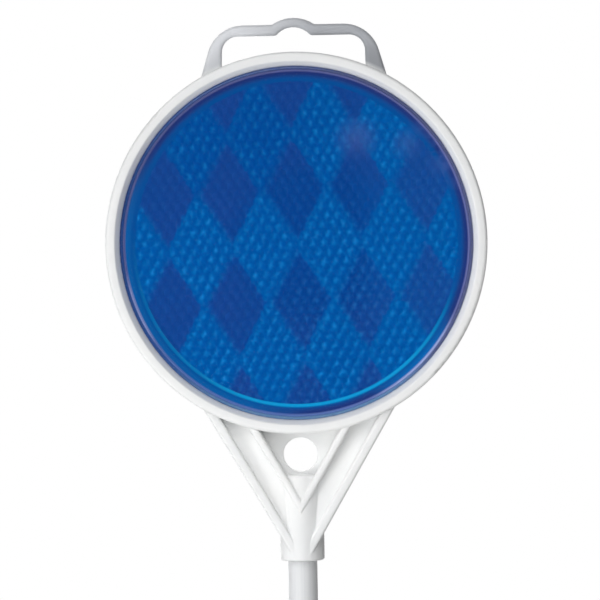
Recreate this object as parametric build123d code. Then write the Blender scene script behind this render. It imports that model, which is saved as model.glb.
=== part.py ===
from build123d import *
import math
import os

# Driveway marker: a round two-sided reflector head on a slim pole that is driven into the ground.
# Millimetres. +Z runs up the pole, the front reflector faces -Y, and the origin is on the pole's axis at the
# ground line. Depths are measured out from the head's middle plane, and drops down from the head's centre.

# Whole marker
overall_height = 914.4
ground_depth = 203.2

# Reflector unit, the same at the front and at the rear
lens_radius = 38.1
lens_thickness = 2.5
lens_face = 1.6
lens_edge_round = 0.5
lens_skirt = 2.8
lens_turn = 2.65
plate_thickness = 1.0
plate_clearance = 0.3
plate_lip_height = 0.3
plate_lip_width = 1.2
plate_lip_clearance = 0.2
pad_thickness = 0.5
pad_margin = 2.0

# Harlequin zones moulded into the back of the lens
zone_width = 14.0
zone_height = 24.2
zone_step = 0.35
zone_gap = 0.3
zone_margin = 0.4
zone_shift_x = -0.15
zone_shift_z = -0.45

# Ring of the housing and the divider between the two reflectors
divider_thickness = 2.0
lens_clearance = 0.15
bevel_width = 1.05
rim_width = 1.975
rim_round = 0.7
rim_lip_round = 0.3
recess_depth = 1.35
ring_bite = 1.0

# Hang loop
loop_gap = 3.61
loop_bar = 2.39
loop_depth = 2.6
loop_edge_round = 0.85
loop_half_width = 16.8
loop_foot_flare = 4.3
loop_leg_width = 1.4
loop_leg_flare = 3.95
loop_outer_round = 8.0
loop_inner_round = 3.4
hump_rise = 1.43
hump_half_width = 4.6
hump_bar = 2.03
notch_inset = 0.85
hump_shoulder_round = 0.9

# Bracket under the ring
bracket_angle = 30.2
bracket_web = 2.4
channel_floor_foot = 8.6
channel_floor_ring = 2.8
ridge_width = 2.0
channel_width = 4.3
rib_width = 1.6
bar_edge_round = 0.55
bar_setback = 0.3
bar_rise = 0.2
gusset_length = 9.0
ridge_sink = 0.35
rib_proud = 0.3
apex_below = 2.27
nail_hole_radius = 3.75
hole_above = 0.97
hole_below = 0.47

# Socket and pole
pole_radius = 3.175
point_length = 14.0
point_radius = 0.9
spigot_step = 0.175
spigot_chamfer = 0.5
running_clearance = 0.05
socket_wall = 1.75
socket_length = 18.8
socket_roof = 1.6
socket_round = 0.6
shoulder_gap = 0.2
spigot_end_gap = 0.3

# Depths of the stacked reflector pieces
pad_back = divider_thickness / 2
plate_back = pad_back + pad_thickness
lens_back = plate_back + plate_thickness
lens_front = lens_back + lens_thickness
field_depth = lens_front - lens_face
rim_front = lens_front + recess_depth

# Radii of the ring and of the reflector's inner edges
seat_radius = lens_radius + lens_clearance
bevel_radius = seat_radius + bevel_width
ring_radius = bevel_radius + rim_width
skirt_radius = lens_radius - lens_skirt
plate_radius = lens_radius - plate_clearance
field_radius = skirt_radius - zone_margin

# Heights and drops
bar_low = ring_radius + loop_gap
bar_high = bar_low + loop_bar
head_centre = overall_height - ground_depth - bar_high - hump_rise
hole_drop = ring_radius + hole_above + nail_hole_radius
socket_top = hole_drop + nail_hole_radius + hole_below
socket_bottom = socket_top + socket_length
apex_drop = socket_bottom + apex_below

# Socket fit
spigot_radius = pole_radius - spigot_step
bore_radius = spigot_radius + running_clearance
socket_radius = bore_radius + socket_wall

# Middle lines of the bracket's bars, measured in from its outer edge
ridge_middle = ridge_width / 2
rib_middle = ridge_width + channel_width + rib_width / 2
lean = math.radians(bracket_angle)
reach = 2 * overall_height


def at_head(shape):
    """Moves a shape drawn about the head's centre up to where the head sits."""
    return Pos(0, 0, head_centre) * shape


def outline(*points):
    """A flat face bounded by straight lines through the points."""
    return make_face(Polyline(*points, close=True))


def round_corners(face, radius, *corners):
    """Rounds those corners of a flat face."""
    picked = [v for v in face.vertices() if any((Vector(*c) - Vector(v)).length < radius / 100 for c in corners)]
    return fillet(picked, radius)


def turned(face):
    """A body turned about the reflector's axis from a face of radius and depth."""
    return revolve(face, Axis.Y)


def bulge(half_width, base, rise):
    """A flat face between a straight base line and an arch over it."""
    arch = ThreePointArc((-half_width, base), (0, base + rise), (half_width, base))
    return make_face(arch + Line((half_width, base), (-half_width, base)))


def make_ring():
    """The deep ring with a rounded rim, and the divider that both reflectors are stuck to."""
    face = outline(
        (0, 0),
        (ring_radius, 0),
        (ring_radius, rim_front),
        (bevel_radius, rim_front),
        (seat_radius, lens_front - lens_edge_round),
        (seat_radius, pad_back),
        (0, pad_back),
    )
    face = round_corners(face, rim_round, (ring_radius, rim_front))
    face = round_corners(face, rim_lip_round, (bevel_radius, rim_front))
    half = turned(face)
    return half + mirror(half, about=Plane.XZ)


def make_loop():
    """The flat hang loop, with flared legs that run into the ring and a hook notch at the middle of its bar."""
    foot = ring_radius - loop_half_width / 2
    outer_foot = loop_half_width + loop_foot_flare
    inner_top = loop_half_width - loop_leg_width
    inner_foot = outer_foot - loop_leg_width - loop_leg_flare
    outer = outline(
        (-outer_foot, foot),
        (-loop_half_width, bar_high),
        (loop_half_width, bar_high),
        (outer_foot, foot),
    )
    outer = round_corners(outer, loop_outer_round, (-loop_half_width, bar_high), (loop_half_width, bar_high))
    inner = outline((-inner_foot, foot), (-inner_top, bar_low), (inner_top, bar_low), (inner_foot, foot))
    inner = round_corners(inner, loop_inner_round, (-inner_top, bar_low), (inner_top, bar_low))
    notch_half = hump_half_width - notch_inset
    notch_rise = hump_rise + loop_bar - hump_bar
    outer += bulge(hump_half_width, bar_high, hump_rise)
    inner += bulge(notch_half, bar_low, notch_rise)
    flat = outer - inner
    flat = round_corners(
        flat,
        hump_shoulder_round,
        (-hump_half_width, bar_high),
        (hump_half_width, bar_high),
        (-notch_half, bar_low),
        (notch_half, bar_low),
    )
    loop = extrude(Plane.XZ * flat, loop_depth / 2, both=True)
    flanks = loop.faces().filter_by(Axis.Y)
    return fillet(flanks.edges(), loop_edge_round)


def bar_path(offset):
    """Start height of a bracket bar on the head's axis, and its length up to the ring."""
    start = offset / math.sin(lean) - apex_drop
    along = -start * math.cos(lean)
    length = along - math.sqrt(along**2 - start**2 + seat_radius**2)
    return start, length


def make_bar(offset, width, foot_depth):
    """One bar of the bracket on the +X side, offset from its edge, with a gusset that rises to the rim."""
    start, length = bar_path(offset)
    along = Vector(math.sin(lean), 0, math.cos(lean))
    across = Vector(math.cos(lean), 0, -math.sin(lean))
    depths = {
        -width: foot_depth,
        length - gusset_length: foot_depth + bar_rise,
        length: rim_front - bar_setback,
    }
    sections = []
    for travel, half_depth in depths.items():
        plane = Plane(Vector(0, 0, start) + along * travel, x_dir=across, z_dir=along)
        sections.append(plane * RectangleRounded(width, 2 * half_depth, bar_edge_round))
    bar = loft(sections, ruled=True)
    return bar & Pos(reach / 2, 0, 0) * Box(reach, reach, reach)


def bar_ends(offset):
    """Lower and upper end of a bar's middle line on the +X side."""
    start, length = bar_path(offset)
    return (0, start), (length * math.sin(lean), start + length * math.cos(lean))


def make_web():
    """The flat web between the bracket's outer ridges."""
    low, (half, top) = bar_ends(ridge_middle)
    return extrude(Plane.XZ * outline(low, (half, top), (-half, top)), bracket_web / 2, both=True)


def make_channel_floor():
    """The thicker web between a ridge and its rib on the +X side, which thins towards the ring."""
    outer_low, outer_high = bar_ends(ridge_middle)
    inner_low, inner_high = bar_ends(rib_middle)
    face = outline(outer_low, outer_high, inner_high, inner_low)
    foot = channel_floor_foot / 2
    ring = channel_floor_ring / 2
    low = outer_low[1]
    high = outer_high[1]
    wedge = outline((-foot, low), (foot, low), (ring, high), (-ring, high))
    return extrude(Plane.XZ * face, reach, both=True) & extrude(Plane.YZ * wedge, reach, both=True)


def make_socket():
    """The round socket below the nail hole, with softened ends."""
    tube = Cylinder(socket_radius, socket_length)
    tube = fillet(tube.edges(), socket_round)
    return Pos(0, 0, -(socket_top + socket_bottom) / 2) * tube


def make_bracket():
    """Two outer ridges and two inner ribs with shallow channels between them, on a web with the socket below."""
    ridge = make_bar(ridge_middle, ridge_width, socket_radius - ridge_sink)
    rib = make_bar(rib_middle, rib_width, socket_radius + rib_proud)
    side = ridge + rib + make_channel_floor()
    bracket = make_web() + side + mirror(side, about=Plane.YZ) + make_socket()
    return bracket & Pos(0, 0, reach / 2 - socket_bottom) * Box(reach, reach, reach)


def make_housing():
    """The one-piece moulding: ring, hang loop, bracket and socket, with its nail hole and blind socket bore."""
    core = Rot(90, 0, 0) * Cylinder(ring_radius - ring_bite, reach)
    housing = make_ring() + (make_loop() - core) + (make_bracket() - core)
    bore_depth = socket_length - socket_roof
    bore = Cylinder(bore_radius, 2 * bore_depth)
    hole = Rot(90, 0, 0) * Cylinder(nail_hole_radius, reach)
    housing -= Pos(0, 0, -socket_bottom) * bore
    housing -= Pos(0, 0, -hole_drop) * hole
    return at_head(housing)


def make_zones():
    """The harlequin zones: every other diamond stands out from the back of the lens."""
    half_width = (zone_width - zone_gap) / 2
    half_height = (zone_height - zone_gap) / 2
    diamond = outline((0, -half_height), (half_width, 0), (0, half_height), (-half_width, 0))
    columns = math.ceil(field_radius / zone_width)
    rows = math.ceil(field_radius / zone_height)
    pattern = Sketch()
    for row in range(-rows, rows):
        for column in range(-columns, columns + 1):
            place = Pos(zone_shift_x + column * zone_width, zone_shift_z + (row + 0.5) * zone_height)
            pattern += place * diamond
    pattern = Rot(0, 0, lens_turn) * pattern & Circle(field_radius)
    back = Plane.XZ.offset(field_depth - zone_step)
    return extrude(back * pattern, zone_step)


def make_lens():
    """The front lens: a clear face with a rounded edge, a skirt behind it and the zones inside the skirt."""
    face = outline(
        (0, -lens_front),
        (lens_radius, -lens_front),
        (lens_radius, -lens_back),
        (skirt_radius, -lens_back),
        (skirt_radius, -field_depth),
        (0, -field_depth),
    )
    face = round_corners(face, lens_edge_round, (lens_radius, -lens_front))
    return at_head(turned(face) + make_zones())


def make_back_plate():
    """The plate that closes the back of the lens, with a lip that centres it inside the skirt."""
    lip_radius = skirt_radius - plate_lip_clearance
    lip_inner = lip_radius - plate_lip_width
    face = outline(
        (0, -plate_back),
        (plate_radius, -plate_back),
        (plate_radius, -lens_back),
        (lip_radius, -lens_back),
        (lip_radius, -lens_back - plate_lip_height),
        (lip_inner, -lens_back - plate_lip_height),
        (lip_inner, -lens_back),
        (0, -lens_back),
    )
    return at_head(turned(face))


def make_foam_pad():
    """The adhesive disc between the back plate and the divider."""
    pad_radius = plate_radius - pad_margin
    face = outline((0, -pad_back), (pad_radius, -pad_back), (pad_radius, -plate_back), (0, -plate_back))
    return at_head(turned(face))


def make_pole():
    """The pole: a point for the ground, the plain shank, and a slightly slimmer spigot for the socket."""
    tip = -ground_depth
    shoulder = head_centre - socket_bottom - shoulder_gap
    spigot_end = head_centre - socket_top - socket_roof - spigot_end_gap
    face = outline(
        (0, tip),
        (point_radius, tip),
        (pole_radius, tip + point_length),
        (pole_radius, shoulder),
        (spigot_radius, shoulder),
        (spigot_radius, spigot_end - spigot_chamfer),
        (spigot_radius - spigot_chamfer, spigot_end),
        (0, spigot_end),
    )
    return revolve(Plane.XZ * face, Axis.Z)


def to_rear(shape):
    """The same piece turned about the pole's axis to the rear side."""
    return Rot(0, 0, 180) * shape


lens = make_lens()
back_plate = make_back_plate()
foam_pad = make_foam_pad()
nodes = {
    "housing": make_housing(),
    "front_lens": lens,
    "front_back_plate": back_plate,
    "front_foam_pad": foam_pad,
    "rear_lens": to_rear(lens),
    "rear_back_plate": to_rear(back_plate),
    "rear_foam_pad": to_rear(foam_pad),
    "pole": make_pole(),
}

os.makedirs("parts", exist_ok=True)
for name, shape in nodes.items():
    export_step(shape, f"parts/{name}.step")
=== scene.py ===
import math
from typing import NamedTuple

import bmesh
import bpy
from bpy.props import FloatProperty, FloatVectorProperty, IntProperty, PointerProperty
from mathutils import Matrix, Vector


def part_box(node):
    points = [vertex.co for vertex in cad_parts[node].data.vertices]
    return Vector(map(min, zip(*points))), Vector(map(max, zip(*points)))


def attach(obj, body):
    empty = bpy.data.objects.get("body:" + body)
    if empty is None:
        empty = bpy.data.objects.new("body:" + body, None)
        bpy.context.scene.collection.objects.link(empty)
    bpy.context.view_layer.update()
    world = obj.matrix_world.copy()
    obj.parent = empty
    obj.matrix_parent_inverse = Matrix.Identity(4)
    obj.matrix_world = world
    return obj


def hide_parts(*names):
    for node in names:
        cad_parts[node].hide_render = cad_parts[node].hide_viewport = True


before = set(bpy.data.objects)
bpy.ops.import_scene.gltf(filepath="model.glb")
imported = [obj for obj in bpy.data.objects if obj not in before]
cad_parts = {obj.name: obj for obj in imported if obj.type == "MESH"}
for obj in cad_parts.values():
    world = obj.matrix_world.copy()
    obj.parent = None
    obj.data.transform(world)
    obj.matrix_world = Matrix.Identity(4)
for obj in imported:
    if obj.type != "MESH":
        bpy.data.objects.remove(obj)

bl_info = {
    "name": "Driveway Marker",
    "version": (1, 0, 0),
    "blender": (4, 5, 0),
    "location": "3D View > Sidebar > Marker",
    "description": "Dresses a two-sided reflector head and its pole, and sets a small studio around them",
    "category": "Object",
}

MM = 0.001
WHITE = (1.0, 1.0, 1.0)
SIDES = {"front": 0.0, "rear": math.pi}

# The frame's own measures, which the pieces below are built on
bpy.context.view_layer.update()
lens_low, lens_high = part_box("front_lens")
housing_low, housing_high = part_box("housing")
pole_low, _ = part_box("pole")
HEAD_CENTRE = (lens_low.z + lens_high.z) / 2
LENS_RADIUS = lens_high.x
LENS_FRONT = -lens_low.y
LENS_BACK = -lens_high.y
RIM_FRONT = -housing_low.y
RING_RADIUS = housing_high.x
FLOOR_LEVEL = pole_low.z


class Pattern(NamedTuple):
    """A noise pattern: how many of it go to a metre, and how fine and how strong its detail is."""

    scale: float
    detail: float
    roughness: float = 0.5


class Turn(NamedTuple):
    """A way out from the lens's centre, in degrees clockwise from the top, with a look of the moulded edge.

    The look begins and is full at these cosines of the angle from there.
    """

    degrees: float
    begin: float
    full: float


class PaintedReflection(NamedTuple):
    """A painted reflection: millimetres to the right of and above the lens's centre, its reach and its
    strength.
    """

    right: float
    up: float
    reach: float
    strength: float


class Lamp(NamedTuple):
    """A soft lamp's place around the head, in degrees and metres, and its size."""

    azimuth: float
    elevation: float
    distance: float
    width: float
    height: float


# Noise in the finishes
FLOW_MARKS = Pattern(scale=90.0, detail=4.0, roughness=0.6)
MOULD_GRAIN = Pattern(scale=2600.0, detail=2.0)
POLE_FIBRES = Pattern(scale=2400.0, detail=3.0, roughness=0.6)
POLE_CLOUDS = Pattern(scale=60.0, detail=2.0)
PLATE_MOTTLING = Pattern(scale=260.0, detail=4.0, roughness=0.65)
FOAM_PORES = Pattern(scale=1500.0, detail=4.0, roughness=0.65)
SIDE_WANDER = Pattern(scale=900.0, detail=1.0)
SPOT_OUTLINES = Pattern(scale=2200.0, detail=2.0)
SPOT_CLOUDS = Pattern(scale=420.0, detail=2.0)
FIELD_SPECKS = Pattern(scale=1500.0, detail=2.0)
FIELD_CLOUDS = Pattern(scale=110.0, detail=3.0, roughness=0.55)
BAND_CLOUDS = Pattern(scale=260.0, detail=3.0, roughness=0.6)
# Noise keeps near its middle, so these spans of it are taken as none to all
WIDE_SPAN = (0.3, 0.7)
FLOW_SPAN = (0.35, 0.7)
FIBRE_SPAN = (0.45, 0.75)
MOTTLE_SPAN = (0.4, 0.65)
SPOT_SPAN = (0.35, 0.65)
BAND_SPAN = (0.4, 0.65)

# White moulding: the loop's painted shade begins at the ring and deepens from left to right
MOULDING_ROUGHNESS = (0.40, 0.52)
GRAIN_STRENGTH = 0.12
GRAIN_DEPTH = 0.02 * MM
EVEN_SPREAD = (1.0, 1.0, 1.0)
BEVEL_SAMPLES = 8
LOOP_BLEND = 1.0 * MM
LOOP_SHADE_FADE = (-12 * MM, 6 * MM)
SATIN_GLOSS = 0.3

# Pole: its fibres are drawn out lengthwise
POLE_ROUGHNESS = (0.36, 0.48)
FIBRE_DRAW = (1.0, 1.0, 0.012)
FIBRE_SHARE = 0.5
FIBRE_STRENGTH = 0.1
FIBRE_DEPTH = 0.03 * MM

# Back plates and foam pads
PLATE_ROUGHNESS = 0.55
PLATE_RELIEF = 0.02 * MM
FOAM_ROUGHNESS = 0.9
FOAM_RELIEF = 0.1 * MM
MOTTLE_STRENGTH = 0.4

# A prism's hexagon, clockwise from its top corner, in half pitches across and sixths of two rows up
HEXAGON = ((0, 2), (1, 1), (1, -1), (0, -2), (-1, -1), (-1, 1))
# The same sixths from one row of prisms to the next
ROW_STEPS = 3
# Corner heights of a prism, in prism depths over its pit
HIGH_CORNER = 1.0
LOW_CORNER = 0.5
# Rows of prisms laid out beyond the field, before it is cut to its circle
SPARE_ROWS = 2
# Digits of a millimetre that tell one corner from another
CORNER_DIGITS = 4

# Prism field's look: what drops depth from a place, the spots' cells, how far spots lean
# between two heights, and the strengths of spots, diamonds' sides, specks, bloom and painted reflections
FLAT = (1.0, 0.0, 1.0)
CELL_STARTS = ((0.5, 0.0, 0.0), (0.0, 0.5, 0.0))
CELL_MIDDLE = (0.5, 0.5, 0.0)
SPOT_LEAN = 0.65
LEAN_HEIGHTS = (-0.6, 0.6)
SPOT_LEVELS = (0.4, 0.9)
SIDE_GLINT = 0.15
SPECK_LEVEL = 0.24
RIGHT_FADE = 0.25
BLOOM_LEVELS = (0.6, 1.4)
REFLECTION_LEVELS = (0.5, 0.95)
FIELD_ROUGHNESS = 0.5
# Painted reflections: pale patches that stand in for soft reflections on the lens's face
PAINTED_REFLECTIONS = (
    PaintedReflection(right=13.4, up=22.4, reach=6.0, strength=0.9),
    PaintedReflection(right=24.3, up=20.8, reach=4.5, strength=0.65),
    PaintedReflection(right=31.0, up=17.0, reach=4.0, strength=0.4),
)

# Moulded edge of the lens: where its looks lie, how soft they end and how strong they are
EDGE_TURNS = {
    "reflected": Turn(degrees=58, begin=0.955, full=0.995),
    "right": Turn(degrees=90, begin=-0.8, full=0.4),
    "low_right": Turn(degrees=135, begin=0.93, full=1.0),
    "bright_step": Turn(degrees=168, begin=0.4, full=0.95),
    "bottom": Turn(degrees=180, begin=0.6, full=0.95),
    "low_line": Turn(degrees=197, begin=0.5, full=0.95),
    "faint_step": Turn(degrees=197, begin=0.2, full=0.95),
    "low_left": Turn(degrees=240, begin=0.4, full=0.85),
    "left": Turn(degrees=248, begin=0.97, full=1.0),
}
EDGE_BLUR = 0.15 * MM
BAND_BLUR = 0.375 * MM
BAND_REFLECTION = 0.7
FAINT_STEP = 0.45
LEFT_HIGHLIGHT = 0.8
EDGE_ROUGHNESS = 0.4
STEP_FOOT = 0.15
BEAD_STEPS = 6
LENS_SEGMENTS = 192
SMOOTH_TO = math.radians(30)

# Clear plastic: how it bends light, how rough its gloss is and its faint tints
FRONT_INDEX = 1.08
FRONT_ROUGHNESS = 0.06
ROUND_INDEX = 1.35
ROUND_ROUGHNESS = 0.25
OUTSIDE_TINT = (0.97, 0.985, 1.0)
INSIDE_TINT = (0.98, 0.99, 1.0)
ROUND_STEPS = 10

# Studio: the floor turns from pale to white between two shares of its radius
LAMPS = {
    "key": Lamp(azimuth=-50, elevation=-18, distance=0.7, width=0.15, height=0.15),
    "low_left": Lamp(azimuth=-45, elevation=-35, distance=0.35, width=0.15, height=0.15),
    "low": Lamp(azimuth=-4, elevation=-30, distance=0.4, width=0.2, height=0.2),
    "front": Lamp(azimuth=-12, elevation=19, distance=1.2, width=0.5, height=0.4),
    "upper": Lamp(azimuth=-18, elevation=40, distance=1.3, width=0.8, height=0.5),
    "back": Lamp(azimuth=-165, elevation=10, distance=1.5, width=1.0, height=1.2),
}
SENSOR_WIDTH = 36.0
FLOOR_SEGMENTS = 96
FLOOR_TONE = (0.82, 0.82, 0.82)
FLOOR_FADE = (0.2, 0.9)
FLOOR_GLOW = (0.5, 1.0)


def length(name, description, default):
    """A size that a user may change."""
    return shift(name, description, default, min=0)


def shift(name, description, default, **limits):
    """A place that a user may change, which may lie on either side of zero unless limits are given."""
    return FloatProperty(
        name=name, description=description, default=default, subtype="DISTANCE", unit="LENGTH", **limits
    )


def angle(name, description, degrees):
    """An angle that a user may change."""
    turn = math.radians(degrees)
    return FloatProperty(name=name, description=description, default=turn, subtype="ANGLE", unit="ROTATION")


def count(name, description, default):
    """A whole number that a user may change."""
    return IntProperty(name=name, description=description, default=default, min=1)


def share(name, description, default):
    """A number from none to all."""
    return FloatProperty(
        name=name, description=description, default=default, min=0, max=1, subtype="FACTOR"
    )


def colour(name, description, default):
    """A colour that a user may change, in linear light."""
    return FloatVectorProperty(
        name=name, description=description, default=default, min=0, max=1, size=3, subtype="COLOR"
    )


def power(name, description, default):
    """A lamp's power."""
    return FloatProperty(
        name=name, description=description, default=default, min=0, subtype="POWER", unit="POWER"
    )


class MarkerLens(bpy.types.PropertyGroup):
    """Sizes and colours of the two reflector lenses."""

    cover_thickness: length("Cover thickness", "Clear plastic over the prisms", 1.3 * MM)
    edge_round: length("Edge round", "Rounding of the lens's front edge", 0.5 * MM)
    skirt_wall: length("Skirt wall", "Clear wall around the moulded edge", 0.04 * MM)
    press_fit: length("Press fit", "How far the clear edge is pressed out towards its seat", 0.14 * MM)
    field_radius: length("Field radius", "Radius of the prism field", 34.9 * MM)
    field_depth: length("Field depth", "Height of the prism field over the marker's middle plane", 3.3 * MM)
    field_base: length("Field base", "Height of the back of the prism field", 2.86 * MM)
    prism_relief: length("Prism relief", "Depth of a prism", 0.26 * MM)
    prisms_per_zone: count("Prisms per zone", "Prisms along a diamond's side", 6)
    zone_width: length("Zone width", "Width of a diamond", 14.0 * MM)
    zone_height: length("Zone height", "Height of a diamond", 24.2 * MM)
    zone_right: shift("Zone right", "How far the pattern sits right of the lens's centre", -0.15 * MM)
    zone_up: shift("Zone up", "How far the pattern sits above the lens's centre", -0.45 * MM)
    zone_turn: angle("Zone turn", "How far the pattern is turned to the left", 2.65)
    zone_fade: share("Zone fade", "How far a dark diamond fades in from its left sides", 0.15)
    zone_ragged: length("Zone raggedness", "How far a diamond's sides wander left and right", 0.35 * MM)
    spot_width: share("Spot width", "Half width of a prism's bright spot, as a share of a prism", 0.34)
    spot_height: share("Spot height", "Half height of a prism's bright spot, as a share of two rows", 0.29)
    spot_rough: share("Spot roughness", "How uneven a bright spot's outline is, as a share of it", 0.55)
    step_width: length("Step width", "Width of the bright step around the field", 0.6 * MM)
    step_rise: length("Step rise", "Height of the step", 0.1 * MM)
    bead_radius: length("Bead radius", "Radius of the pale moulding line", 37.4 * MM)
    bead_width: length("Bead width", "Width of the pale moulding line", 0.45 * MM)
    bead_rise: length("Bead rise", "Height of the pale moulding line", 0.14 * MM)
    edge_height: length("Edge height", "Height that the outer edge slopes up to", 4.3 * MM)
    light_zone: colour("Light zone", "Colour of the light diamonds", (0.0005, 0.091, 0.352))
    light_right: colour("Light right", "The same at the right of the lens", (0.0005, 0.098, 0.372))
    light_glint: colour("Light glint", "Bright spots in the light diamonds", (0.0060, 0.220, 0.580))
    dark_zone: colour("Dark zone", "Colour of the dark diamonds", (0.0028, 0.060, 0.276))
    dark_right: colour("Dark right", "The same at the right of the lens", (0.0026, 0.078, 0.325))
    dark_glint: colour("Dark glint", "Bright spots in the dark diamonds", (0.0060, 0.086, 0.335))
    dark_lively: colour("Lively glint", "The same at the lower right, and livelier", (0.0120, 0.145, 0.45))
    right_from: shift("Right from", "Where the right's colours begin, to the right of the centre", 11 * MM)
    right_to: shift("Right to", "Where the right's colours are full", 20 * MM)
    lively_from: shift("Lively from", "Where the livelier spots begin, towards the lower right", 0.0)
    lively_to: shift("Lively to", "Where the livelier spots are at their most", 18 * MM)
    dull: colour("Dull", "What dulls the light diamonds of the upper left", (0.0010, 0.015, 0.20))
    dull_share: share("Dull share", "Strength of the dulling at its most", 0.25)
    dull_low: shift("Dull low", "Height where the dulling begins", 8 * MM)
    dull_high: shift("Dull high", "Height where the dulling is at its most", 13 * MM)
    dull_left: shift("Dull left", "Where the dulling begins to fade, towards the right", -3 * MM)
    dull_right: shift("Dull right", "Where the dulling ends", 12 * MM)
    bloom: colour("Bloom", "Purple bloom of the outer dark diamonds", (0.020, 0.062, 0.280))
    bloom_share: share("Bloom share", "Strength of the bloom at its most", 0.27)
    bloom_from: length("Bloom from", "Where the bloom begins, away from the calm middle", 13 * MM)
    bloom_to: length("Bloom to", "Where the bloom is at its most", 21 * MM)
    calm_right: shift("Calm middle", "Calm middle of the field, to the right of the lens's centre", 4 * MM)
    # Painted reflection: colour of pale patches standing in for soft reflections on the lens
    reflection: colour("PaintedReflection", "Pale haze over a few places of the field", (0.045, 0.108, 0.350))
    # Painted light: the step glows low down, where light would gather in it
    step_glow: colour("Step", "Colour of the step where it gathers light", (0.0060, 0.345, 0.65))
    band_inner: colour("Band inside", "Colour of the smooth band next to the step", (0.0025, 0.084, 0.320))
    band_outer: colour("Band outside", "Colour of the band next to the pale line", (0.020, 0.042, 0.195))
    band_low: colour("Band low", "The same at the lower left and lower right", (0.006, 0.135, 0.42))
    bead: colour("Pale line", "Colour of the moulding line", (0.160, 0.175, 0.38))
    bead_low: colour("Low line", "Colour of the moulding line at the bottom", (0.160, 0.245, 0.55))
    # Painted highlights: the pale line in two short places where lamps would glint on it
    bead_highlight: colour("Bright line", "The moulding line in two short places", (0.40, 0.45, 0.72))
    edge_right: colour("Edge right", "Colour of the lens's outer edge at its right", (0.115, 0.130, 0.25))
    edge_low: colour("Edge low", "Colour of the lens's outer edge at the bottom", (0.19, 0.37, 0.57))
    # Painted light: the outer edge is lighter at its left, standing in for a highlight on the rounded edge
    edge_left_highlight: colour("Edge left", "Colour of the lens's outer edge at its left", (0.055, 0.180, 0.50))


class MarkerFinish(bpy.types.PropertyGroup):
    """Colours of the moulding, the pole and the hidden pieces."""

    moulding: colour("Moulding", "White plastic of the head", (0.86, 0.865, 0.86))
    moulding_shade: colour("Moulding shade", "Its faint flow marks", (0.82, 0.83, 0.835))
    # Painted shade: the hang loop is greyed, more at its right, where light from the left falls less
    loop_shade_left: colour("Loop left", "Greyer plastic at the left of the hang loop", (0.705, 0.72, 0.75))
    loop_shade_right: colour("Loop right", "Greyer plastic at the right of the hang loop", (0.445, 0.46, 0.49))
    pole: colour("Pole", "White glass-fibre pole", (0.72, 0.73, 0.74))
    pole_streak: colour("Pole streak", "Its lengthwise fibres", (0.62, 0.635, 0.66))
    plate: colour("Back plate", "Grey plate behind the prisms", (0.30, 0.31, 0.33))
    plate_shade: colour("Back plate shade", "Its mottling", (0.24, 0.25, 0.27))
    foam: colour("Foam pad", "Adhesive foam", (0.10, 0.10, 0.105))
    foam_pore: colour("Foam pore", "Pores in the foam", (0.03, 0.03, 0.032))
    milkiness: share("Milkiness", "Share of the light that spreads inside the white plastic", 0.5)
    milky_depth: length("Milky depth", "How far light spreads inside the white plastic", 2.0 * MM)
    edge_soften: length("Softened edges", "How far the moulding's edges look rounded", 0.35 * MM)
    loop_soften: length("Softened loop", "How far the hang loop's edges look rounded", 0.8 * MM)


class MarkerStudio(bpy.types.PropertyGroup):
    """Camera, lamps, world and floor."""

    view_azimuth: angle("View azimuth", "Camera's place around the head, to the right of the front", 1.5)
    view_elevation: angle("View elevation", "Camera's place above the horizon", 1.7)
    view_roll: angle("View roll", "How far the head leans to the left in the picture", 1.05)
    view_distance: length("View distance", "Camera's distance from the rim's front", 1.0)
    view_width: length("View width", "Width of the picture at the rim's front", 129.4 * MM)
    view_right: shift("View right", "Picture's middle, to the right of the head's centre", 0.84 * MM)
    view_up: shift("View up", "Picture's middle, above the head's centre", -12.27 * MM)
    key_power: power("Key power", "Soft lamp from the left", 0.66)
    low_left_power: power("Low left power", "Soft lamp near the head from the lower left", 0.275)
    low_power: power("Low power", "Soft lamp near the head from below", 0.37)
    front_power: power("Front power", "Small soft lamp over the camera", 2.4)
    upper_power: power("Upper power", "Wide soft lamp from above", 6.2)
    back_power: power("Back power", "Soft lamp from behind", 10.0)
    ambient: share("Ambient", "Level of the light from all around", 0.12)
    floor_radius: length("Floor radius", "Radius of the round floor", 3.5)


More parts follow.
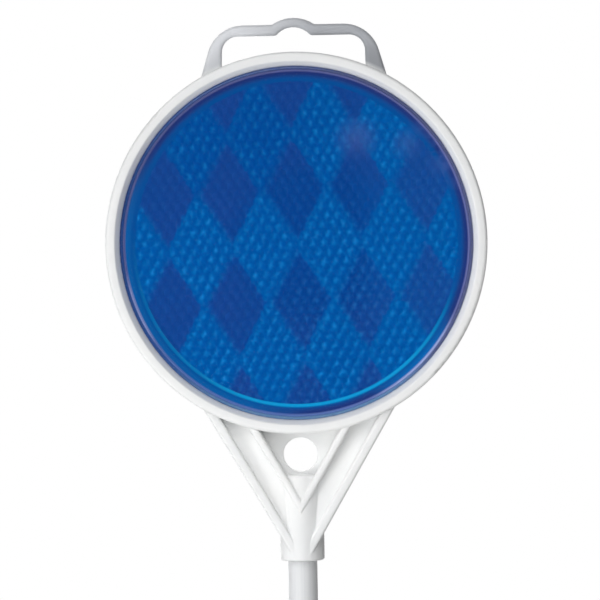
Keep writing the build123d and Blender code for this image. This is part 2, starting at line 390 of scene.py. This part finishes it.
class Finish:
    """A material with an empty node tree, and short calls to fill it."""

    def __init__(self, name):
        self.material = bpy.data.materials.new(name)
        self.material.use_nodes = True
        self.tree = self.material.node_tree
        self.tree.nodes.clear()

    def add(self, kind, inputs=None, **settings):
        """Adds a node; an input is a value, or another node's output to link."""
        return add_node(self.tree, kind, inputs, **settings)

    def place(self):
        """The place on the piece that is being coloured."""
        return self.add("ShaderNodeTexCoord").outputs["Object"]

    def noise(self, vector, pattern):
        """The grey value of a noise pattern."""
        inputs = {
            "Vector": vector,
            "Scale": pattern.scale,
            "Detail": pattern.detail,
            "Roughness": pattern.roughness,
        }
        return self.add("ShaderNodeTexNoise", inputs).outputs["Fac"]

    def ranged(self, value, low, high, to_low=0.0, to_high=1.0, smooth=False):
        """A value carried from one range to another."""
        inputs = {"Value": value, "From Min": low, "From Max": high, "To Min": to_low, "To Max": to_high}
        kind = "SMOOTHSTEP" if smooth else "LINEAR"
        return self.add("ShaderNodeMapRange", inputs, interpolation_type=kind).outputs["Result"]

    def mixed(self, factor, first, second):
        """A colour between two others."""
        node = self.add("ShaderNodeMix", data_type="RGBA")
        fill(self.tree, node.inputs["Factor"], factor)
        fill(self.tree, node.inputs["A"], first)
        fill(self.tree, node.inputs["B"], second)
        return node.outputs["Result"]

    def math(self, operation, *values):
        """A sum on one or two numbers."""
        node = self.add("ShaderNodeMath", operation=operation)
        for socket, value in zip(node.inputs, values):
            fill(self.tree, socket, value)
        return node.outputs[0]

    def vector(self, operation, *values, output="Vector"):
        """A sum on vectors."""
        node = self.add("ShaderNodeVectorMath", operation=operation)
        for socket, value in zip(node.inputs, values):
            fill(self.tree, socket, value)
        return node.outputs[output]

    def done(self, shader):
        """Ends the tree with this shader node."""
        self.add("ShaderNodeOutputMaterial", {"Surface": shader.outputs[0]})
        return self.material


def fill(tree, socket, value):
    """Links a socket to another node's output, or sets its value."""
    if isinstance(value, bpy.types.NodeSocket):
        tree.links.new(value, socket)
    elif socket.type == "RGBA":
        socket.default_value = (*value, 1.0)
    else:
        socket.default_value = value


def add_node(tree, kind, inputs=None, **settings):
    """Adds a node with its settings and inputs."""
    node = tree.nodes.new(kind)
    for name, value in settings.items():
        setattr(node, name, value)
    for name, value in (inputs or {}).items():
        fill(tree, node.inputs[name], value)
    return node


def seen_directly(tree):
    """One for rays that show the background: straight from the camera, off gloss or through glass."""
    rays = add_node(tree, "ShaderNodeLightPath").outputs
    seen = rays["Is Camera Ray"]
    for kind in ("Is Glossy Ray", "Is Transmission Ray"):
        either = add_node(tree, "ShaderNodeMath", operation="MAXIMUM")
        fill(tree, either.inputs[0], seen)
        fill(tree, either.inputs[1], rays[kind])
        seen = either.outputs[0]
    return seen


def moulded_white(look):
    """Satin white plastic, faint flow marks, softly rounded edges and painted shade on the hang loop."""
    finish = Finish("white_moulding_finish")
    place = finish.place()
    flow = finish.noise(place, FLOW_MARKS)
    grain = finish.noise(place, MOULD_GRAIN)
    tone = finish.mixed(finish.ranged(flow, *FLOW_SPAN), look.moulding, look.moulding_shade)
    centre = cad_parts["housing"].matrix_world.inverted() @ Vector((0, 0, HEAD_CENTRE))
    from_centre = finish.vector("SUBTRACT", place, centre)
    parts = finish.add("ShaderNodeSeparateXYZ", {"Vector": from_centre}).outputs
    away = finish.vector("LENGTH", from_centre, output="Value")
    outside = finish.ranged(away, RING_RADIUS, RING_RADIUS + LOOP_BLEND)
    on_loop = finish.math("MULTIPLY", outside, finish.math("GREATER_THAN", parts["Z"], 0.0))
    # Painted shade on the hang loop, deepening from its left to its right
    loop_shade = finish.mixed(finish.ranged(parts["X"], *LOOP_SHADE_FADE), look.loop_shade_left, look.loop_shade_right)
    tone = finish.mixed(on_loop, tone, loop_shade)
    soften = finish.ranged(on_loop, 0.0, 1.0, look.edge_soften, look.loop_soften)
    rounded = finish.add("ShaderNodeBevel", {"Radius": soften}, samples=BEVEL_SAMPLES)
    relief = finish.add(
        "ShaderNodeBump",
        {
            "Strength": GRAIN_STRENGTH,
            "Distance": GRAIN_DEPTH,
            "Height": grain,
            "Normal": rounded.outputs[0],
        },
    )
    shader = finish.add(
        "ShaderNodeBsdfPrincipled",
        {
            "Base Color": tone,
            "Roughness": finish.ranged(flow, *WIDE_SPAN, *MOULDING_ROUGHNESS),
            "Specular IOR Level": SATIN_GLOSS,
            "Subsurface Weight": look.milkiness,
            "Subsurface Radius": EVEN_SPREAD,
            "Subsurface Scale": look.milky_depth,
            "Normal": relief.outputs[0],
        },
    )
    return finish.done(shader)


def drawn_fibre(look):
    """Glass-fibre pole: white with fine lengthwise fibres."""
    finish = Finish("pole_finish")
    place = finish.place()
    fibres = finish.noise(finish.vector("MULTIPLY", place, FIBRE_DRAW), POLE_FIBRES)
    cloud = finish.noise(place, POLE_CLOUDS)
    streaks = finish.ranged(fibres, *FIBRE_SPAN, 0.0, FIBRE_SHARE)
    tone = finish.mixed(streaks, look.pole, look.pole_streak)
    relief = finish.add(
        "ShaderNodeBump",
        {"Strength": FIBRE_STRENGTH, "Distance": FIBRE_DEPTH, "Height": fibres},
    )
    shader = finish.add(
        "ShaderNodeBsdfPrincipled",
        {
            "Base Color": tone,
            "Roughness": finish.ranged(cloud, *WIDE_SPAN, *POLE_ROUGHNESS),
            "Specular IOR Level": SATIN_GLOSS,
            "Normal": relief.outputs[0],
        },
    )
    return finish.done(shader)


def mottled(name, first, second, pattern, roughness, depth):
    """A dull surface of two mottled colours, for the pieces behind the lens."""
    finish = Finish(name)
    patches = finish.noise(finish.place(), pattern)
    tone = finish.mixed(finish.ranged(patches, *MOTTLE_SPAN), first, second)
    relief = finish.add(
        "ShaderNodeBump",
        {"Strength": MOTTLE_STRENGTH, "Distance": depth, "Height": patches},
    )
    shader = finish.add(
        "ShaderNodeBsdfPrincipled",
        {"Base Color": tone, "Roughness": roughness, "Normal": relief.outputs[0]},
    )
    return finish.done(shader)


def spots(finish, across, rise, rough, lens):
    """Bright spots, one to a prism: upright dashes in the upper half that lean over in the lower half."""
    lean = finish.ranged(rise, *LEAN_HEIGHTS, SPOT_LEAN, 0.0)
    pins = finish.add("ShaderNodeCombineXYZ", {"X": across, "Y": rise}).outputs[0]
    pins = finish.vector("MULTIPLY", pins, (lens.prisms_per_zone, lens.prisms_per_zone, 0.0))
    best = 0.0
    for start in CELL_STARTS:
        cell = finish.vector("FRACTION", finish.vector("ADD", pins, start))
        from_pin = finish.vector("SUBTRACT", cell, CELL_MIDDLE)
        parts = finish.add("ShaderNodeSeparateXYZ", {"Vector": from_pin}).outputs
        slant = finish.math("SUBTRACT", parts["X"], finish.math("MULTIPLY", lean, parts["Y"]))
        wide = finish.math("DIVIDE", slant, lens.spot_width)
        high = finish.math("DIVIDE", parts["Y"], lens.spot_height)
        oval = finish.add("ShaderNodeCombineXYZ", {"X": wide, "Y": high}).outputs[0]
        away = finish.math("ADD", finish.vector("LENGTH", oval, output="Value"), rough)
        best = finish.math("MAXIMUM", best, finish.ranged(away, 0.0, 1.0, 1.0, 0.0, smooth=True))
    return best


def zones(finish, across, rise, lens):
    """How dark a diamond is, fading in from its left sides, and how near a light one's left side is."""
    rising = finish.math("ADD", rise, across)
    falling = finish.math("SUBTRACT", rise, across)
    both = finish.math("ADD", finish.math("FLOOR", rising), finish.math("FLOOR", falling))
    light = finish.math("FLOORED_MODULO", both, 2.0)
    dark = finish.math("SUBTRACT", 1.0, light)
    low_left = finish.math("FRACT", rising)
    high_left = finish.math("SUBTRACT", 1.0, finish.math("FRACT", falling))
    left = finish.math("MINIMUM", low_left, high_left)
    right = finish.math("SUBTRACT", 1.0, finish.math("MAXIMUM", low_left, high_left))
    from_left = finish.ranged(left, 0.0, lens.zone_fade, smooth=True)
    from_right = finish.ranged(right, 0.0, RIGHT_FADE * lens.zone_fade, smooth=True)
    side = finish.math("MULTIPLY", light, finish.math("SUBTRACT", 1.0, from_left))
    return finish.math("MULTIPLY", dark, finish.math("MULTIPLY", from_left, from_right)), side


def painted_reflections(finish, place):
    """How much painted reflection the field has: full at a reflection's middle, and none at its reach."""
    flat = finish.vector("MULTIPLY", place, FLAT)
    most = 0.0
    for reflection in PAINTED_REFLECTIONS:
        away = finish.vector("DISTANCE", flat, (reflection.right * MM, 0.0, reflection.up * MM), output="Value")
        spot = finish.ranged(away, 0.0, reflection.reach * MM, 1.0, 0.0, smooth=True)
        most = finish.math("MAXIMUM", most, finish.math("MULTIPLY", spot, reflection.strength))
    return most


def prism_blue(lens):
    """Prism facets: light and dark diamonds with bright spots, purple bloom and a few painted pale
    reflections.
    """
    finish = Finish("prism_finish")
    place = finish.place()
    turn = Matrix.Rotation(-lens.zone_turn, 3, "Y")
    right = finish.vector("DOT_PRODUCT", place, turn @ Vector((1, 0, 0)), output="Value")
    up = finish.vector("DOT_PRODUCT", place, turn @ Vector((0, 0, 1)), output="Value")
    across = finish.math("DIVIDE", finish.math("SUBTRACT", right, lens.zone_right), lens.zone_width)
    rise = finish.math("DIVIDE", finish.math("SUBTRACT", up, lens.zone_up), lens.zone_height)

    # Diamonds with ragged sides, and the glints in them
    wander = finish.noise(place, SIDE_WANDER)
    wander = finish.ranged(wander, *WIDE_SPAN, -lens.zone_ragged, lens.zone_ragged)
    ragged = finish.math("ADD", across, finish.math("DIVIDE", wander, lens.zone_width))
    dark, side = zones(finish, ragged, rise, lens)
    rough = finish.noise(place, SPOT_OUTLINES)
    rough = finish.ranged(rough, *WIDE_SPAN, -lens.spot_rough, lens.spot_rough)
    level = finish.ranged(finish.noise(place, SPOT_CLOUDS), *SPOT_SPAN, *SPOT_LEVELS)
    glint = finish.math("MULTIPLY", spots(finish, across, rise, rough, lens), level)
    glint = finish.math("MAXIMUM", glint, finish.math("MULTIPLY", side, SIDE_GLINT))
    specks = finish.ranged(finish.noise(place, FIELD_SPECKS), *WIDE_SPAN, -SPECK_LEVEL, SPECK_LEVEL)
    glint = finish.math("MAXIMUM", 0.0, finish.math("ADD", glint, specks))

    # Light diamonds, duller at the upper left
    at_right = finish.ranged(right, lens.right_from, lens.right_to, smooth=True)
    light = finish.mixed(at_right, lens.light_zone, lens.light_right)
    light = finish.mixed(glint, light, lens.light_glint)
    high = finish.ranged(up, lens.dull_low, lens.dull_high, smooth=True)
    at_left = finish.ranged(right, lens.dull_left, lens.dull_right, lens.dull_share, 0.0, smooth=True)
    light = finish.mixed(finish.math("MULTIPLY", high, at_left), light, lens.dull)

    # Dark diamonds, livelier at the lower right
    along = finish.vector("DOT_PRODUCT", place, Vector((1, 0, -1)).normalized(), output="Value")
    low_right = finish.ranged(along, lens.lively_from, lens.lively_to, smooth=True)
    shade = finish.mixed(at_right, lens.dark_zone, lens.dark_right)
    shade = finish.mixed(glint, shade, finish.mixed(low_right, lens.dark_glint, lens.dark_lively))
    tone = finish.mixed(dark, light, shade)

    # Bloom on the outer dark diamonds, and painted pale reflections
    cloud = finish.noise(place, FIELD_CLOUDS)
    flat = finish.vector("MULTIPLY", place, FLAT)
    away = finish.vector("DISTANCE", flat, (lens.calm_right, 0.0, 0.0), output="Value")
    bloom = finish.ranged(away, lens.bloom_from, lens.bloom_to, 0.0, lens.bloom_share, smooth=True)
    bloom = finish.math("MULTIPLY", bloom, finish.ranged(cloud, *WIDE_SPAN, *BLOOM_LEVELS))
    tone = finish.mixed(finish.math("MULTIPLY", dark, bloom), tone, lens.bloom)
    reflected = finish.ranged(cloud, *WIDE_SPAN, *REFLECTION_LEVELS)
    reflected = finish.math("MULTIPLY", painted_reflections(finish, place), reflected)
    tone = finish.mixed(reflected, tone, lens.reflection)
    shader = finish.add(
        "ShaderNodeBsdfPrincipled",
        {"Base Color": tone, "Roughness": FIELD_ROUGHNESS, "Specular IOR Level": 0.0},
    )
    return finish.done(shader)


def edge_blue(lens):
    """The moulded edge inside the lens: bright step, smooth band, pale line and dark outer edge."""
    finish = Finish("lens_edge_finish")
    place = finish.place()
    flat = finish.vector("MULTIPLY", place, FLAT)
    radius = finish.vector("LENGTH", flat, output="Value")
    direction = finish.vector("NORMALIZE", flat)
    step_end = lens.field_radius + lens.step_width
    bead_in = lens.bead_radius - lens.bead_width / 2
    bead_out = lens.bead_radius + lens.bead_width / 2

    def toward(name, most=1.0, smooth=True):
        """How much of a look this place has, by its way out from the lens's centre."""
        turn = EDGE_TURNS[name]
        way = math.radians(turn.degrees)
        ahead = (math.sin(way), 0.0, math.cos(way))
        cosine = finish.vector("DOT_PRODUCT", direction, ahead, output="Value")
        return finish.ranged(cosine, turn.begin, turn.full, 0.0, most, smooth)

    # Smooth band, lighter low down, with a painted reflection at the upper right
    low_right = toward("low_right")
    lower_sides = finish.math("MAXIMUM", low_right, toward("low_left"))
    outer = finish.mixed(lower_sides, lens.band_outer, lens.band_low)
    outward = finish.ranged(radius, step_end - EDGE_BLUR, bead_in - BAND_BLUR, smooth=True)
    band = finish.mixed(outward, lens.band_inner, outer)
    cloud = finish.noise(place, BAND_CLOUDS)
    # Painted reflection over the band at its upper right
    reflected = finish.math("MULTIPLY", toward("reflected"), finish.ranged(cloud, *BAND_SPAN, 0.0, BAND_REFLECTION))
    band = finish.mixed(reflected, band, lens.reflection)

    # Bright step inside the band: painted light, strongest low down where the step would gather it
    lit = finish.math("MAXIMUM", toward("bright_step"), toward("faint_step", FAINT_STEP, smooth=False))
    on_step = finish.ranged(radius, step_end - EDGE_BLUR, step_end + 2 * EDGE_BLUR, 1.0, 0.0, smooth=True)
    tone = finish.mixed(finish.math("MULTIPLY", lit, on_step), band, lens.step_glow)

    # Pale line with painted highlights, and outer edge with painted light at its left
    bead = finish.mixed(toward("low_line"), lens.bead, lens.bead_low)
    # Painted highlights on the pale line, at the lower right and at the left
    highlighted = finish.math("MAXIMUM", low_right, toward("left", LEFT_HIGHLIGHT))
    bead = finish.mixed(highlighted, bead, lens.bead_highlight)
    on_bead = finish.ranged(radius, bead_in - 2 * EDGE_BLUR, bead_in + EDGE_BLUR, smooth=True)
    tone = finish.mixed(on_bead, tone, bead)
    # Painted light: the outer edge turns lighter away from its right
    edge = finish.mixed(toward("right", smooth=False), lens.edge_left_highlight, lens.edge_right)
    edge = finish.mixed(toward("bottom"), edge, lens.edge_low)
    on_edge = finish.ranged(radius, bead_out - EDGE_BLUR, bead_out + EDGE_BLUR, smooth=True)
    tone = finish.mixed(on_edge, tone, edge)
    shader = finish.add(
        "ShaderNodeBsdfPrincipled",
        {"Base Color": tone, "Roughness": EDGE_ROUGHNESS, "Specular IOR Level": 0.0},
    )
    return finish.done(shader)


def clear_outside(name, index, roughness):
    """The outside of the clear plastic, which lets light through and reflects a little of it."""
    finish = Finish(name)
    gloss = finish.add("ShaderNodeBsdfAnisotropic", {"Color": WHITE, "Roughness": roughness})
    clear = finish.add("ShaderNodeBsdfTransparent", {"Color": OUTSIDE_TINT})
    bend = finish.add("ShaderNodeFresnel", {"IOR": index})
    both = {0: bend.outputs[0], 1: clear.outputs[0], 2: gloss.outputs[0]}
    return finish.done(finish.add("ShaderNodeMixShader", both))


def clear_inside():
    """The back of the clear plastic, which only lets light through."""
    finish = Finish("clear_inside_finish")
    return finish.done(finish.add("ShaderNodeBsdfTransparent", {"Color": INSIDE_TINT}))


def arc(centre, radius, start, end, steps):
    """Points on an arc about a centre, from one angle to another."""
    turns = [start + (end - start) * k / steps for k in range(steps + 1)]
    return [(centre[0] + radius * math.cos(t), centre[1] + radius * math.sin(t)) for t in turns]


def turned_mesh(name, profile, changes=()):
    """A closed body turned about the lens's axis from (radius, height) points; heights run to the front.

    The next material begins at each profile point listed in changes.
    """
    bm = bmesh.new()
    rings = []
    for radius, height in profile:
        turns = [math.tau * k / LENS_SEGMENTS for k in range(LENS_SEGMENTS)] if radius else [0.0]
        rings.append([bm.verts.new((radius * math.sin(t), -height, radius * math.cos(t))) for t in turns])
    for index, near in enumerate(rings):
        far = rings[(index + 1) % len(rings)]
        material = sum(index >= change for change in changes)
        if len(near) == len(far) == 1:
            continue
        for k in range(LENS_SEGMENTS):
            corners = (
                near[k % len(near)],
                far[k % len(far)],
                far[(k + 1) % len(far)],
                near[(k + 1) % len(near)],
            )
            face = bm.faces.new(list(dict.fromkeys(corners)))
            face.material_index = material
    return finished_mesh(name, bm, smooth_to=SMOOTH_TO)


def finished_mesh(name, bm, smooth_to=None):
    """A mesh from a bmesh, with faces turned outwards and edges up to an angle shaded smooth."""
    bmesh.ops.recalc_face_normals(bm, faces=bm.faces)
    mesh = bpy.data.meshes.new(name)
    bm.to_mesh(mesh)
    bm.free()
    if smooth_to is not None:
        mesh.shade_smooth()
        mesh.set_sharp_from_angle(angle=smooth_to)
    return mesh


def cut_to_circle(points, radius):
    """A flat polygon's part inside a circle about the origin."""
    kept = []
    for here, there in zip(points, points[1:] + points[:1]):
        inside = math.hypot(here[0], here[2]) <= radius
        if inside:
            kept.append(here)
        if inside != (math.hypot(there[0], there[2]) <= radius):
            kept.append(crossing(here, there, radius))
    return kept


def crossing(here, there, radius):
    """Where a line from one point to another crosses a circle about the origin."""
    right, up = there[0] - here[0], there[2] - here[2]
    square = right**2 + up**2
    half = (here[0] * right + here[2] * up) / square
    rest = (here[0] ** 2 + here[2] ** 2 - radius**2) / square
    root = math.sqrt(half**2 - rest)
    along = next(t for t in (-half - root, -half + root) if 0 <= t <= 1)
    return tuple(a + along * (b - a) for a, b in zip(here, there))


def prism_faces(lens):
    """Corner points of the prism field's facets: three-sided pits on a six-sided lattice."""
    across = lens.zone_width / lens.prisms_per_zone / 2
    up = lens.zone_height / lens.prisms_per_zone / 2
    turn = Matrix.Rotation(lens.zone_turn, 2)
    reach = math.ceil(lens.field_radius / up) + SPARE_ROWS
    cells = []
    levels = {}
    for i in range(-reach, reach):
        for j in range(-reach, reach):
            dark = (i // lens.prisms_per_zone + j // lens.prisms_per_zone) % 2 == 0
            centre = (i - j, ROW_STEPS * (i + j + 1))
            corners = [(centre[0] + x, centre[1] + z) for x, z in HEXAGON]
            cells.append((centre, corners, dark))
            for k, corner in enumerate(corners):
                level = LOW_CORNER if (k % 2 == 1) == dark else HIGH_CORNER
                levels.setdefault(corner, []).append(level)

    def point(place, level):
        """A lattice place at a level, in the lens's own frame."""
        right = lens.zone_right + place[0] * across
        x, z = turn @ Vector((right, lens.zone_up + place[1] * up / ROW_STEPS))
        return x, -(lens.field_depth - lens.prism_relief * (1 - level)), z

    faces = []
    for centre, corners, dark in cells:
        pit = point(centre, 0.0)
        if math.hypot(pit[0], pit[2]) > lens.field_radius + SPARE_ROWS * up:
            continue
        rim = [point(corner, sum(levels[corner]) / len(levels[corner])) for corner in corners]
        # Three facets meet in the pit, and each takes two sides of the hexagon
        for k in range(int(dark), len(rim), 2):
            faces.append([pit, rim[k], rim[(k + 1) % len(rim)], rim[(k + 2) % len(rim)]])
    return faces


def prism_mesh(lens):
    """The prism field as a closed plate."""
    bm = bmesh.new()
    corners = {}
    for points in prism_faces(lens):
        verts = []
        for p in cut_to_circle(points, lens.field_radius):
            key = (round(p[0] / MM, CORNER_DIGITS), round(p[2] / MM, CORNER_DIGITS))
            if key not in corners:
                corners[key] = bm.verts.new(p)
            if corners[key] not in verts:
                verts.append(corners[key])
        if len(verts) > 2:
            bm.faces.new(verts)
    border = [e for e in bm.edges if e.is_boundary]
    walls = bmesh.ops.extrude_edge_only(bm, edges=border)["geom"]
    for vert in walls:
        if isinstance(vert, bmesh.types.BMVert):
            vert.co.y = -lens.field_base
    bmesh.ops.contextual_create(bm, geom=[e for e in bm.edges if e.is_boundary])
    return finished_mesh("prism_field", bm)


def edge_mesh(lens):
    """The moulded edge around the prism field: a step, a smooth band, a fine bead and a sloping rim."""
    inner = lens.field_radius
    low = lens.field_depth - lens.prism_relief / 2
    top = low + lens.step_rise
    outer = LENS_RADIUS + lens.press_fit - lens.skirt_wall
    bead_in = lens.bead_radius - lens.bead_width / 2
    bead = [
        (
            bead_in + lens.bead_width * k / BEAD_STEPS,
            top + lens.bead_rise * math.sin(math.pi * k / BEAD_STEPS),
        )
        for k in range(BEAD_STEPS + 1)
    ]
    profile = [
        (inner, lens.field_base),
        (inner, low),
        (inner + lens.step_width * STEP_FOOT, low),
        (inner + lens.step_width, top),
        *bead,
        (outer, lens.edge_height),
        (outer, LENS_BACK),
        (inner + lens.step_width, LENS_BACK),
    ]
    return turned_mesh("lens_edge", profile)


def cover_mesh(lens):
    """The clear front of the lens: a plate with a rounded edge and a thin skirt."""
    back = LENS_FRONT - lens.cover_thickness
    outer = LENS_RADIUS + lens.press_fit
    inner = outer - lens.skirt_wall
    round_centre = (outer - lens.edge_round, LENS_FRONT - lens.edge_round)
    front = [(0.0, LENS_FRONT)]
    rounded = arc(round_centre, lens.edge_round, math.pi / 2, 0.0, ROUND_STEPS)
    inside = [(outer, LENS_BACK), (inner, LENS_BACK), (inner, back), (0.0, back)]
    edge_start = len(front)
    inside_start = edge_start + len(rounded)
    return turned_mesh("lens_cover", front + rounded + inside, changes=(edge_start, inside_start))


def place_lens_piece(side, suffix, mesh):
    """An object of a lens mesh at the front or the rear of the head, riding on the head."""
    piece = bpy.data.objects.new(f"{side}_lens{suffix}", mesh)
    bpy.context.scene.collection.objects.link(piece)
    piece.matrix_world = Matrix.Translation((0, 0, HEAD_CENTRE)) @ Matrix.Rotation(SIDES[side], 4, "Z")
    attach(piece, "head")
    return piece


def dress(node, material):
    """Gives a carried-over node its finish."""
    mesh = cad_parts[node].data
    mesh.materials.clear()
    mesh.materials.append(material)


def way_out(azimuth, elevation):
    """A direction away from the head; azimuth 0 is to its front and turns to the right."""
    flat = math.cos(elevation)
    return Vector((math.sin(azimuth) * flat, -math.cos(azimuth) * flat, math.sin(elevation)))


def soft_lamp(name, lamp, watts):
    """A soft lamp that faces the head and doesn't show itself to the camera."""
    data = bpy.data.lights.new(name, "AREA")
    data.shape = "RECTANGLE"
    data.size = lamp.width
    data.size_y = lamp.height
    data.energy = watts
    head = Vector((0, 0, HEAD_CENTRE))
    way = way_out(math.radians(lamp.azimuth), math.radians(lamp.elevation))
    stand = bpy.data.objects.new(name, data)
    stand.location = head + way * lamp.distance
    stand.rotation_euler = (head - stand.location).to_track_quat("-Z", "Y").to_euler()
    stand.visible_camera = False
    bpy.context.scene.collection.objects.link(stand)


def set_camera(studio):
    """The camera in front of the head, framed for a square picture."""
    data = bpy.data.cameras.new("camera")
    data.sensor_width = SENSOR_WIDTH
    data.lens = data.sensor_width * studio.view_distance / studio.view_width
    back = way_out(studio.view_azimuth, studio.view_elevation)
    turn = (-back).to_track_quat("-Z", "Y").to_matrix() @ Matrix.Rotation(-studio.view_roll, 3, "Z")
    middle = Vector((0, -RIM_FRONT, HEAD_CENTRE)) + turn @ Vector((studio.view_right, studio.view_up, 0))
    camera = bpy.data.objects.new("camera", data)
    camera.matrix_world = Matrix.Translation(middle + back * studio.view_distance) @ turn.to_4x4()
    bpy.context.scene.collection.objects.link(camera)
    bpy.context.scene.camera = camera


def set_world(studio):
    """Even light from all around, with a white background."""
    world = bpy.data.worlds.new("studio")
    world.use_nodes = True
    tree = world.node_tree
    tree.nodes.clear()
    even = add_node(tree, "ShaderNodeBackground", {"Color": WHITE, "Strength": studio.ambient})
    white = add_node(tree, "ShaderNodeBackground", {"Color": WHITE, "Strength": 1.0})
    both = {0: seen_directly(tree), 1: even.outputs[0], 2: white.outputs[0]}
    either = add_node(tree, "ShaderNodeMixShader", both)
    add_node(tree, "ShaderNodeOutputWorld", {"Surface": either.outputs[0]})
    bpy.context.scene.world = world


def set_floor(studio):
    """A round pale floor under the pole's point, which runs out into the white background."""
    bm = bmesh.new()
    bmesh.ops.create_circle(bm, cap_ends=True, radius=studio.floor_radius, segments=FLOOR_SEGMENTS)
    floor = bpy.data.objects.new("floor", finished_mesh("floor", bm))
    floor.location.z = FLOOR_LEVEL
    bpy.context.scene.collection.objects.link(floor)
    finish = Finish("floor_finish")
    radius = finish.vector("LENGTH", finish.place(), output="Value")
    near, far = (part * studio.floor_radius for part in FLOOR_FADE)
    white = finish.ranged(radius, near, far, *FLOOR_GLOW, smooth=True)
    glow = finish.math("MULTIPLY", white, seen_directly(finish.tree))
    matt = finish.add("ShaderNodeBsdfDiffuse", {"Color": FLOOR_TONE})
    light = finish.add("ShaderNodeEmission", {"Color": WHITE, "Strength": 1.0})
    both = {0: glow, 1: matt.outputs[0], 2: light.outputs[0]}
    floor.data.materials.append(finish.done(finish.add("ShaderNodeMixShader", both)))


class MARKER_OT_stage(bpy.types.Operator):
    """Sets up the camera, the lamps, the world and the floor"""

    bl_idname = "marker.stage"
    bl_label = "Studio"

    def execute(self, context):
        studio = context.scene.marker_studio
        set_camera(studio)
        set_world(studio)
        set_floor(studio)
        for name, lamp in LAMPS.items():
            soft_lamp(f"{name}_lamp", lamp, getattr(studio, f"{name}_power"))
        context.scene.view_settings.view_transform = "Standard"
        return {"FINISHED"}


class MARKER_OT_lenses(bpy.types.Operator):
    """Builds both reflector lenses: clear cover, prism field and moulded edge"""

    bl_idname = "marker.lenses"
    bl_label = "Reflector lenses"

    def execute(self, context):
        lens = context.scene.marker_lens
        cover, prisms, edge = cover_mesh(lens), prism_mesh(lens), edge_mesh(lens)
        cover.materials.append(clear_outside("clear_front_finish", FRONT_INDEX, FRONT_ROUGHNESS))
        cover.materials.append(clear_outside("clear_edge_finish", ROUND_INDEX, ROUND_ROUGHNESS))
        cover.materials.append(clear_inside())
        prisms.materials.append(prism_blue(lens))
        edge.materials.append(edge_blue(lens))
        for side in SIDES:
            clear = place_lens_piece(side, "_cover", cover)
            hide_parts(f"{side}_lens")
            place_lens_piece(side, "_prisms", prisms)
            place_lens_piece(side, "_edge", edge)
        return {"FINISHED"}


class MARKER_OT_housing(bpy.types.Operator):
    """Gives the white moulding its finish"""

    bl_idname = "marker.housing"
    bl_label = "White moulding"

    def execute(self, context):
        dress("housing", moulded_white(context.scene.marker_finish))
        return {"FINISHED"}


class MARKER_OT_backing(bpy.types.Operator):
    """Gives the back plates and the foam pads behind the lenses their finishes"""

    bl_idname = "marker.backing"
    bl_label = "Back plates and pads"

    def execute(self, context):
        look = context.scene.marker_finish
        plate = mottled(
            "back_plate_finish", look.plate, look.plate_shade, PLATE_MOTTLING, PLATE_ROUGHNESS, PLATE_RELIEF
        )
        foam = mottled(
            "foam_pad_finish", look.foam, look.foam_pore, FOAM_PORES, FOAM_ROUGHNESS, FOAM_RELIEF
        )
        for side in SIDES:
            dress(f"{side}_back_plate", plate)
            dress(f"{side}_foam_pad", foam)
        return {"FINISHED"}


class MARKER_OT_pole(bpy.types.Operator):
    """Gives the pole its finish"""

    bl_idname = "marker.pole"
    bl_label = "Pole"

    def execute(self, context):
        dress("pole", drawn_fibre(context.scene.marker_finish))
        return {"FINISHED"}


class MARKER_PT_sidebar(bpy.types.Panel):
    """Lists the marker's pieces and the studio"""

    bl_idname = "MARKER_PT_sidebar"
    bl_label = "Driveway Marker"
    bl_space_type = "VIEW_3D"
    bl_region_type = "UI"
    bl_category = "Marker"

    def draw(self, context):
        for operator in OPERATORS:
            self.layout.operator(operator.bl_idname)
        for name, group in SETTINGS.items():
            box = self.layout.box()
            for key in group.__annotations__:
                box.prop(getattr(context.scene, name), key)


OPERATORS = (MARKER_OT_stage, MARKER_OT_lenses, MARKER_OT_housing, MARKER_OT_backing, MARKER_OT_pole)
SETTINGS = {"marker_lens": MarkerLens, "marker_finish": MarkerFinish, "marker_studio": MarkerStudio}
CLASSES = (*SETTINGS.values(), *OPERATORS, MARKER_PT_sidebar)


def register():
    """Adds the classes and the scene's settings."""
    for cls in CLASSES:
        bpy.utils.register_class(cls)
    for name, group in SETTINGS.items():
        setattr(bpy.types.Scene, name, PointerProperty(type=group))


def unregister():
    """Takes the settings and the classes away again."""
    for name in SETTINGS:
        delattr(bpy.types.Scene, name)
    for cls in reversed(CLASSES):
        bpy.utils.unregister_class(cls)


def main():
    """Builds everything in order."""
    register()
    bpy.ops.marker.stage()
    bpy.ops.marker.lenses()
    bpy.ops.marker.housing()
    bpy.ops.marker.backing()
    bpy.ops.marker.pole()


if __name__ == "__main__":
    main()
